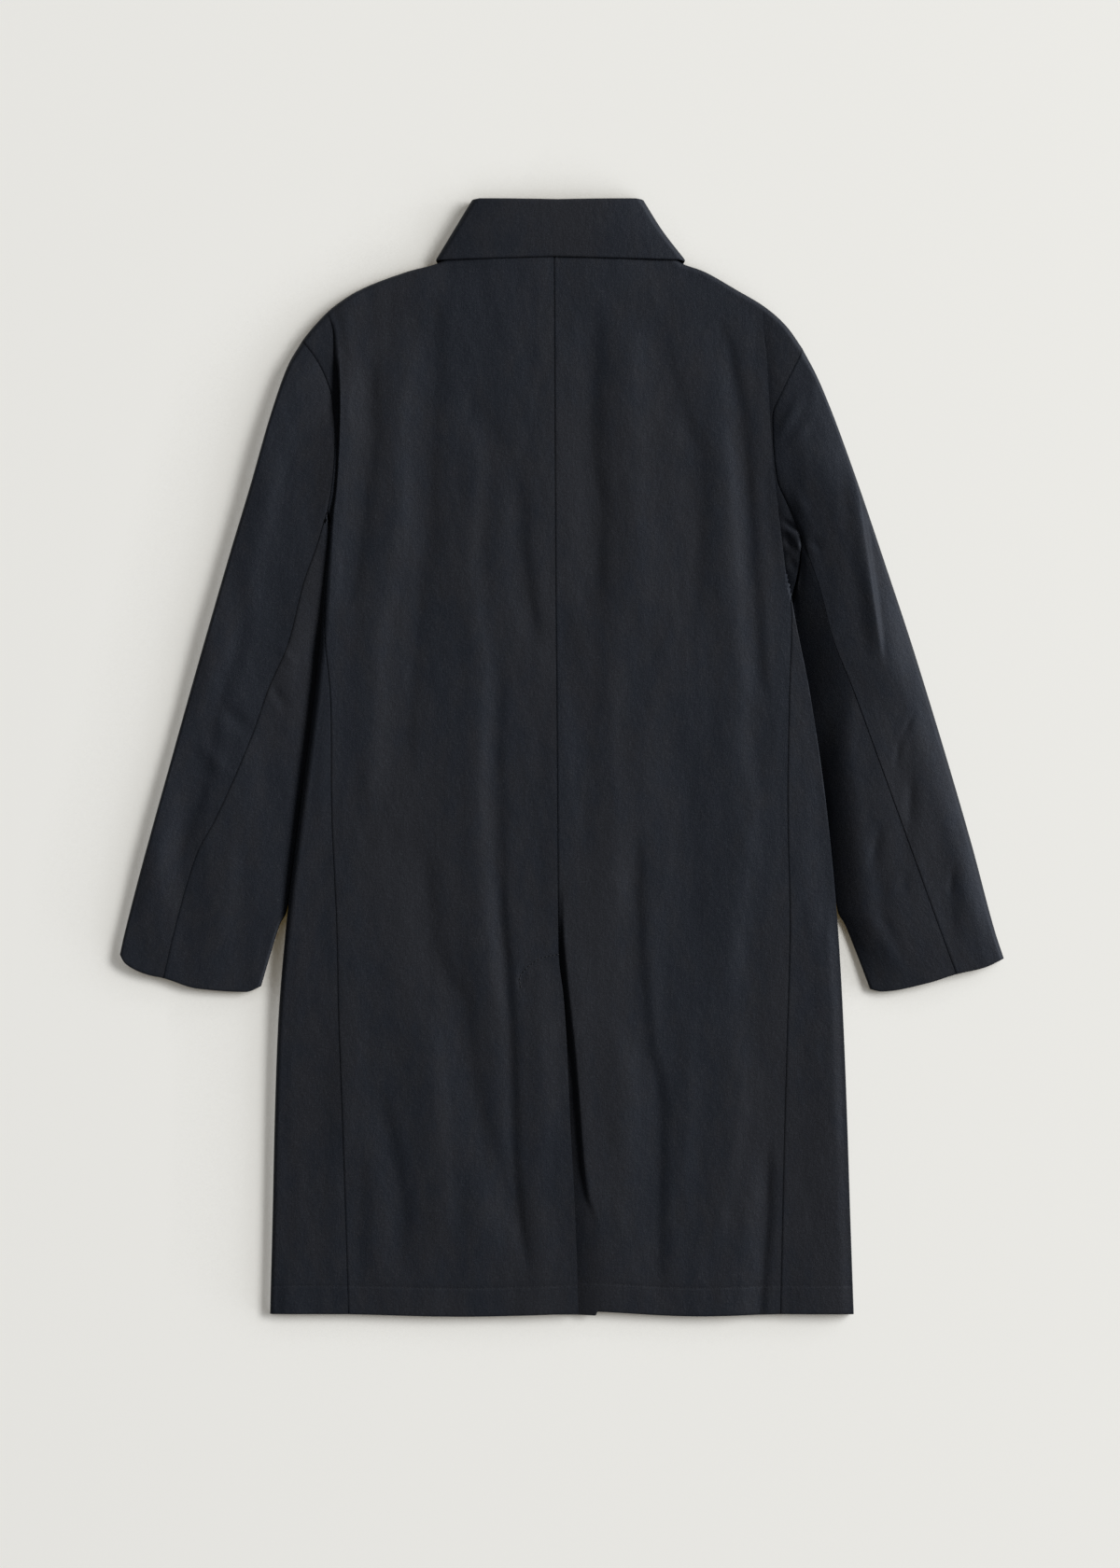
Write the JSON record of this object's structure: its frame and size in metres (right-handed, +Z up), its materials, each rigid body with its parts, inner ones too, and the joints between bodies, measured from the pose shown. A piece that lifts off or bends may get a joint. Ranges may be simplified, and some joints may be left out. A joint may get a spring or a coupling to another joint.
{
  "type": "oilskin coat",
  "caption": "Knee-length oilskin coat laid flat, back up: turned-down collar, two-piece set-in sleeves, centre back seam with a hem vent.",
  "frame": {"origin": "on the surface that the coat lies on, under the centre of its outline", "axes": "+X to the right of someone looking down at the back, +Y towards the collar, +Z up off the surface"},
  "size_m": [0.8532, 1.0781, 0.016],
  "materials": {
    "oilskin": "dark blue-black waxed cotton with a soft, mottled sheen"
  },
  "bodies": {
    "root": {"back_left": "oilskin", "back_right": "oilskin", "front_left": "oilskin", "front_right": "oilskin", "sleeve_top_left": "oilskin", "sleeve_top_right": "oilskin", "sleeve_under_left": "oilskin", "sleeve_under_right": "oilskin", "collar_fall": "oilskin", "collar_stand": "oilskin"}
  },
  "joints": []
}
